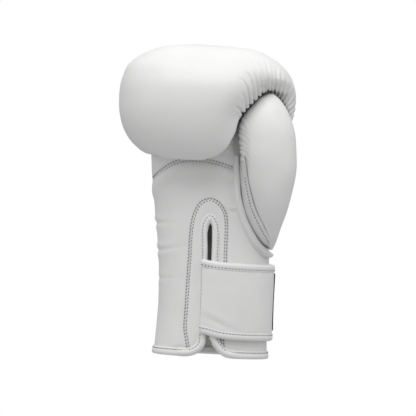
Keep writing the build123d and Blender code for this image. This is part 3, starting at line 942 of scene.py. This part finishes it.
def ribbon(name, line, section, growth, material):
    # a section carried along a line of x, z and half width; its height grows towards the end
    normals = palmNormal(line[:, 0], line[:, 1])
    side = sideways(line)
    sweep = []
    for i in range(len(line)):
        loop = []
        for share, lift in section:
            x = line[i, 0] + side[i, 0] * share * line[i, 2]
            z = line[i, 1] + side[i, 1] * share * line[i, 2]
            skin = np.array([x, float(palmSide(x, z)), z])
            loop.append(skin + normals[i] * (lift * (1.0 + growth * (i / (len(line) - 1)))))
        sweep.append(np.array(loop) * mm)
    return loopSweep(name, sweep, material)


def addEdges():
    binding = ribbon("slitBinding", bindingLine, edges["binding"], 0.0, bound)
    keep(binding, "binding_leather", "glove", "slit_binding")
    piping = ribbon("thumbPiping", pipingLine, edges["piping"], edges["pipingGrowth"], bound)
    keep(piping, "white_leather", "glove", "thumb_piping")
    inner, outer = smooth(edges["gussetInner"]), smooth(edges["gussetOuter"])
    count = 70
    sweep, sewn = [], []
    for i in range(count):
        a = inner[int(i / (count - 1) * (len(inner) - 1))]
        b = outer[int(i / (count - 1) * (len(outer) - 1))]
        low = float(palmSide(a[0], a[1])) - 0.4
        high = float(frontSide(thumb, b[0] + 1.0, b[1])) - 0.1
        top, bottom = [], []
        for k in range(11):
            t = k / 10
            x, z = a * (1 - t) + b * t
            y = low + (high - low) * t - edges["gussetSag"] * math.sin(math.pi * t)
            top.append((x, y, z))
            bottom.append((x, y + edges["gussetThick"], z))
        sweep.append(np.array(top + bottom[::-1]) * mm)
        sewn.append(np.array(top[7]) * mm - np.array([0, 0.0002, 0]))
    band = loopSweep("thumbGusset", sweep, gusset)
    keep(band, "white_leather", "glove", "thumb_gusset")
    return np.array(sewn)[16:]     # the line of its stitches, below the fist's edge


gussetSeam = addEdges()
print("edges ready")


# bands that run round the cuff: the rim's binding, the strap and its bindings

def turnsBetween(start, end, step=1.5):
    raw = np.linspace(start, end, 900)
    x, y, _, _ = ovalAt(hand["levels"], hand["power"], raw, np.full(raw.shape, 55.0))
    gone = np.concatenate([[0], np.cumsum(np.hypot(np.diff(x), np.diff(y)))])
    return np.interp(np.linspace(0, gone[-1], max(3, int(gone[-1] / step) + 1)), gone, raw)


def bandLoops(turns, section):
    return [np.array([handPoint(turn, z, lift) for lift, z in section(turn)]) * mm for turn in turns]


rim = {
    "level": 5.0,              # the height at which its ends are measured
    "centre": 3.8,
    "half": 3.8,
    "leftEnd": -15.0,
    "rightEnd": 35.0,
    "backSeam": 7.0,
    "sewn": 1.15,
    # once round: height above the skin, share of half the width
    "section": [(1.0, 0.86), (1.15, 0.66), (1.0, 0.52), (1.3, 0.36), (1.75, 0.0), (1.8, -0.4),
                (1.4, -0.75), (0.6, -0.95), (-1.0, -1.0), (-4.0, -1.0), (-8.5, -0.96),
                (-10.2, -0.8), (-10.8, -0.3), (-10.8, 0.8), (-10.0, 0.9), (-9.6, -0.2),
                (-1.6, -0.3)],
}


def rimSection(turn):
    centre, half = rim["centre"], rim["half"]
    top = [(-1.0, centre + half - 0.3), (0.3, centre + half)]
    return top + [(lift, centre + half * share) for lift, share in rim["section"]]


strap = {
    "level": 55.0,             # the height at which its length is measured
    "startX": 2.5,
    "hingeX": 24.0,
    "tipX": -12.7,
    "low": 17.4,
    "high": 90.2,
    "band": 7.4,               # how wide its edge bindings are
    "inner": 1.35,
    "outer": 4.6,
    "swell": 0.55,
    "topCurve": (3.0, 12.0),   # how far the edge turns up at the slit, and how soon it's level
    "lowCurve": (5.2, 15.0),
    # once round a binding: side and height over it, share of its width
    "bindingOuter": [(-0.4, 1.0), (0.5, 0.97), (0.75, 0.86), (0.55, 0.76), (0.8, 0.66),
                     (1.05, 0.48), (0.9, 0.28), (0.3, 0.1)],
}
strapStart = turnFor(strap["startX"], strap["level"])
strapHinge = turnFor(strap["hingeX"], strap["level"])
strapBack = turnFor(strap["hingeX"], strap["level"], True)
strapTip = turnFor(strap["tipX"], strap["level"], True)
frontFold = ("strap_front", "strap_side", (0.036, -0.0240, 0.055), (0.054, -0.0140, 0.055))
sideFold = ("strap_side", "strap_end", (0.054, 0.0500, 0.055), (0.034, 0.0600, 0.055))
strapPieces = [
    # name, first and last turn, what it rides on (a fold between two bodies is passed on, but such a
    # piece is only fixed in place), and the CAD pieces it stands for
    ("Front", strapStart, strapHinge, "strap_front", "strap_front"),
    ("Border", strapHinge, 0.0, frontFold, None),
    ("Side", 0.0, strapBack, sideFold, "strap_side"),
    ("End", strapBack, strapTip, "strap_end", "strap_end"),
]


def strapX(turn):
    return float(handPoint(turn, strap["level"], 0.0)[0])


def strapEdge(turn, top):
    # the strap's edges curve up towards the slit
    onPalmSide = math.sin(turn) < 0
    past = max(0.0, strapX(turn) - 3.2)
    if top:
        rise, reach = strap["topCurve"]
        return strap["high"] + rise * (math.exp(-past / reach) if onPalmSide else 0.0)
    rise, reach = strap["lowCurve"]
    return strap["low"] + rise * math.exp(-(past / reach) ** 1.5) * onPalmSide


def strapPlump(turn):
    # thin at its sewn start and at its tip
    x = strapX(turn)
    if math.sin(turn) < 0:
        return 0.62 + 0.38 * (1 - math.exp(-max(0.0, x - 3.2) / 3.0))
    return 0.75 + 0.25 * (1 - math.exp(-max(0.0, x + 12.0) / 2.5))


def strapFold(x, z):
    # a soft diagonal fold above the lower binding, and a pressed line inside the sewn edge
    away = z - (39.0 - 0.42 * (x - 5))
    here = math.exp(-((x - 18) / 14) ** 2)
    fold = -0.55 * math.exp(-(away / 3.0) ** 2) * here
    fold += 0.3 * math.exp(-((away - 6) / 4.0) ** 2) * here
    return fold - 0.45 * math.exp(-((x - 7.0) / 0.9) ** 2)


def coverSection(turn):
    low = strapEdge(turn, False) + strap["band"] - 1.2
    high = strapEdge(turn, True) - strap["band"] + 1.2
    plump = strapPlump(turn)
    outer = strap["inner"] + (strap["outer"] - strap["inner"]) * plump
    x = strapX(turn)
    section = []
    count = 44
    for i in range(count + 1):
        t = i / count
        z = low + (high - low) * t
        swell = strap["swell"] * math.sin(math.pi * t) ** 0.6
        fold = strapFold(x, z) if math.sin(turn) < 0 else 0.0
        ripple = 0.22 * noise.noise(Vector((turn * 3.0, z / 17, 2.0)))
        section.append((outer + swell * plump + fold + ripple, z))
    return section + [(strap["inner"], high), (strap["inner"], low)]


def strapBindingSection(top):
    def section(turn):
        edge = strapEdge(turn, top)
        inward = -1 if top else 1
        outer = strap["inner"] + (strap["outer"] - strap["inner"]) * strapPlump(turn)
        inner = strap["inner"] - 0.1
        middle = (inner + outer) / 2
        shape = [(outer + lift, share) for lift, share in strap["bindingOuter"]]
        shape += [(middle + 0.8, 0.02), (middle, 0.0), (inner + 0.6, 0.04), (inner, 0.16),
                  (inner, 0.9)]
        return [(lift, edge + inward * strap["band"] * share) for lift, share in shape]
    return section


def addBands():
    back = turnFor(rim["backSeam"], rim["level"], True)
    left = turnsBetween(turnFor(rim["leftEnd"], rim["level"]), back - 2 * math.pi)
    right = turnsBetween(turnFor(rim["rightEnd"], rim["level"]), back)
    for name, turns, nodeName in (
        ("rimBindingLittleSide", left, "rim_binding_little_side"),
        ("rimBindingThumbSide", right, "rim_binding_thumb_side"),
    ):
        binding = loopSweep(name, bandLoops(turns, rimSection), bound)
        keep(binding, "binding_leather", "glove", nodeName)
    for label, start, end, body, cadName in strapPieces:
        turns = turnsBetween(start, end, 1.2)
        for name, section, material, slotName, nodeEnd in (
            ("strapCover", coverSection, white, "white_leather", "_cover"),
            ("strapLowerBinding", strapBindingSection(False), bound, "binding_leather",
             "_binding_bottom"),
            ("strapUpperBinding", strapBindingSection(True), bound, "binding_leather",
             "_binding_top"),
        ):
            piece = loopSweep(name + label, bandLoops(turns, section), material)
            keep(piece, slotName, body, *([cadName + nodeEnd] if cadName else []))
            if cadName and nodeEnd == "_cover":
                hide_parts(cadName + "_core")


addBands()
print("bands ready")


# the blank badge on the strap's side

badge = {"low": 27.0, "high": 82.0, "gap": 0.35, "endX": 58.0}


def badgeSection(turn):
    low, high = badge["low"], badge["high"]
    base = strap["outer"] + badge["gap"]
    return [(base, low), (base + 0.7, low + 0.15), (base + 1.0, low + 0.8), (base + 1.05, 40.0),
            (base + 1.1, 55.0), (base + 1.05, 70.0), (base + 1.0, high - 0.8),
            (base + 0.7, high - 0.15), (base, high), (base, 55.0)]


def addBadge():
    turns = turnsBetween(-0.02, turnFor(badge["endX"], strap["level"], True), 1.5)
    patch = loopSweep("strapBadge", bandLoops(turns, badgeSection), badgeRubber)
    keep(patch, "badge_rubber", sideFold, "strap_badge")


addBadge()
print("badge ready")


# stitch rows

def bandRow(start, end, heightAt, lift):
    turns = turnsBetween(start, end, 2.0)
    return np.array([handPoint(turn, heightAt(turn), lift) for turn in turns]) * mm


def addStitches():
    rows = []
    for line, offsets, lift in ((facingLine, stitching["facingRows"], 0.15),
                                (palmLine, stitching["palmRows"], -0.1)):
        for offset in offsets:
            row = shifted(line, offset)
            rows.append(onPalm(row[row[:, 0] > stitching["palmLeftEnd"]], lift))
    sewn = bindingLine[12:-12]
    aside = sewn[:, 2] * stitching["bindingShare"]
    rows.append(onPalm(sewn[:, :2] + sideways(sewn) * aside[:, None], 1.3))
    # the facing's last stitches, seen through the notch
    for offset in (-1.5, 1.5):
        row = smooth([(21.0 + offset, 17.5), (22.5 + offset, 11.0), (25.0 + offset, 5.5)])
        rows.append(onPalm(row, 0.3))
    back = turnFor(rim["backSeam"], rim["level"], True)
    for start, end in ((rim["leftEnd"] + 1.0, back - 2 * math.pi), (rim["rightEnd"] - 1.0, back)):
        rows.append(bandRow(turnFor(start, rim["level"]), end,
                            lambda turn: rim["centre"] + rim["half"] * 0.6, rim["sewn"]))
    stitchRow("palmStitches", rows, "glove")

    inside = strap["band"] * stitching["strapShare"]
    trim = 0.004
    lift = strap["outer"] + 0.6
    for label, start, end, body, _ in strapPieces:
        low = bandRow(start + trim, end - trim, lambda turn: strapEdge(turn, False) + inside, lift)
        high = bandRow(start + trim, end - trim, lambda turn: strapEdge(turn, True) - inside, lift)
        stitchRow("strapStitches" + label, [low, high], body)

    stitchRow("thumbStitches", [gussetSeam], "glove")


addStitches()
print("stitches ready")


# finishes for the CAD pieces that stay

finishes = {
    "palm_foam": foam, "cuff_foam_little_side": foam, "cuff_foam_thumb_side": foam,
    "cuff_foam_back": foam, "hand_back_foam": foam, "grip_bar_core": foam,
    "hand_lining": lining, "finger_lining": lining, "thumb_lining": lining,
    "grip_bar_cover": lining, "side_panel": white, "hook_tape": hooks, "loop_tape": loops,
}
for nodeName, material in finishes.items():
    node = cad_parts[nodeName]
    node.data.materials.clear()
    node.data.materials.append(material)
print("finishes ready")
